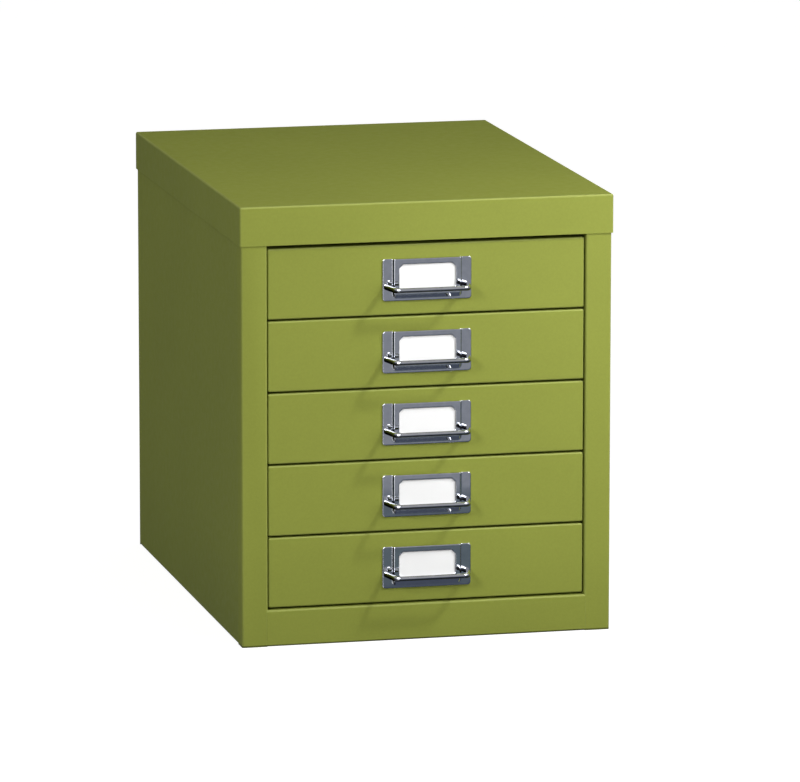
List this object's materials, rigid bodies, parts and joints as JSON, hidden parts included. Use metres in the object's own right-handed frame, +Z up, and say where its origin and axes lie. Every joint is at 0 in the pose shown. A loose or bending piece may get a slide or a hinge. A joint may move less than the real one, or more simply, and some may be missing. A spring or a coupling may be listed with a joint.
{
  "type": "small metal drawer cabinet",
  "caption": "Desk-top cabinet of folded sheet steel with a cap lid, shallow sliding drawers, and a plated card holder with a wire bow on each drawer.",
  "frame": {"origin": "on the floor, at the middle of the cabinet's box with its drawers shut, bows included", "axes": "+Z up, -Y towards the drawer fronts, +X to the right of someone facing them"},
  "size_m": [0.279, 0.397, 0.325],
  "materials": {
    "green_paint": "semi-gloss powder coat with a very fine texture",
    "chrome_plating": "polished plating on pressed steel and wire",
    "zinc_clip": "dull zinc plating",
    "white_card": "plain white card"
  },
  "bodies": {
    "carcass": {"lid": "green_paint", "left_side_panel": "green_paint", "right_side_panel": "green_paint", "back_panel": "green_paint", "base_panel": "green_paint", "bottom_rail": "green_paint", "top_rail": "green_paint", "left_runner_1": "green_paint", "left_runner_2": "green_paint", "left_runner_3": "green_paint", "left_runner_4": "green_paint", "left_runner_5": "green_paint", "right_runner_1": "green_paint", "right_runner_2": "green_paint", "right_runner_3": "green_paint", "right_runner_4": "green_paint", "right_runner_5": "green_paint"},
    "drawer_1": {"drawer_front_1": "green_paint", "drawer_tray_1": "green_paint", "drawer_back_1": "green_paint", "handle_plate_1": "chrome_plating", "handle_bow_1": "chrome_plating", "bow_clips_1": "zinc_clip"},
    "drawer_2": {"drawer_front_2": "green_paint", "drawer_tray_2": "green_paint", "drawer_back_2": "green_paint", "handle_plate_2": "chrome_plating", "handle_bow_2": "chrome_plating", "bow_clips_2": "zinc_clip"},
    "drawer_3": {"drawer_front_3": "green_paint", "drawer_tray_3": "green_paint", "drawer_back_3": "green_paint", "handle_plate_3": "chrome_plating", "handle_bow_3": "chrome_plating", "bow_clips_3": "zinc_clip"},
    "drawer_4": {"drawer_front_4": "green_paint", "drawer_tray_4": "green_paint", "drawer_back_4": "green_paint", "handle_plate_4": "chrome_plating", "handle_bow_4": "chrome_plating", "bow_clips_4": "zinc_clip"},
    "drawer_5": {"drawer_front_5": "green_paint", "drawer_tray_5": "green_paint", "drawer_back_5": "green_paint", "handle_plate_5": "chrome_plating", "handle_bow_5": "chrome_plating", "bow_clips_5": "zinc_clip"},
    "card_1": {"label_card_1": "white_card"},
    "card_2": {"label_card_2": "white_card"},
    "card_3": {"label_card_3": "white_card"},
    "card_4": {"label_card_4": "white_card"},
    "card_5": {"label_card_5": "white_card"}
  },
  "joints": [
    {"name": "drawer_slide_1", "type": "slide", "parent": "carcass", "child": "drawer_1", "axis": [0, -1, 0], "range_m": [0, 0.275]},
    {"name": "drawer_slide_2", "type": "slide", "parent": "carcass", "child": "drawer_2", "axis": [0, -1, 0], "range_m": [0, 0.275]},
    {"name": "drawer_slide_3", "type": "slide", "parent": "carcass", "child": "drawer_3", "axis": [0, -1, 0], "range_m": [0, 0.275]},
    {"name": "drawer_slide_4", "type": "slide", "parent": "carcass", "child": "drawer_4", "axis": [0, -1, 0], "range_m": [0, 0.275]},
    {"name": "drawer_slide_5", "type": "slide", "parent": "carcass", "child": "drawer_5", "axis": [0, -1, 0], "range_m": [0, 0.275]},
    {"name": "card_slide_1", "type": "slide", "parent": "drawer_1", "child": "card_1", "axis": [0, 0, 1], "range_m": [0, 0.012]},
    {"name": "card_slide_2", "type": "slide", "parent": "drawer_2", "child": "card_2", "axis": [0, 0, 1], "range_m": [0, 0.012]},
    {"name": "card_slide_3", "type": "slide", "parent": "drawer_3", "child": "card_3", "axis": [0, 0, 1], "range_m": [0, 0.012]},
    {"name": "card_slide_4", "type": "slide", "parent": "drawer_4", "child": "card_4", "axis": [0, 0, 1], "range_m": [0, 0.012]},
    {"name": "card_slide_5", "type": "slide", "parent": "drawer_5", "child": "card_5", "axis": [0, 0, 1], "range_m": [0, 0.012]}
  ]
}
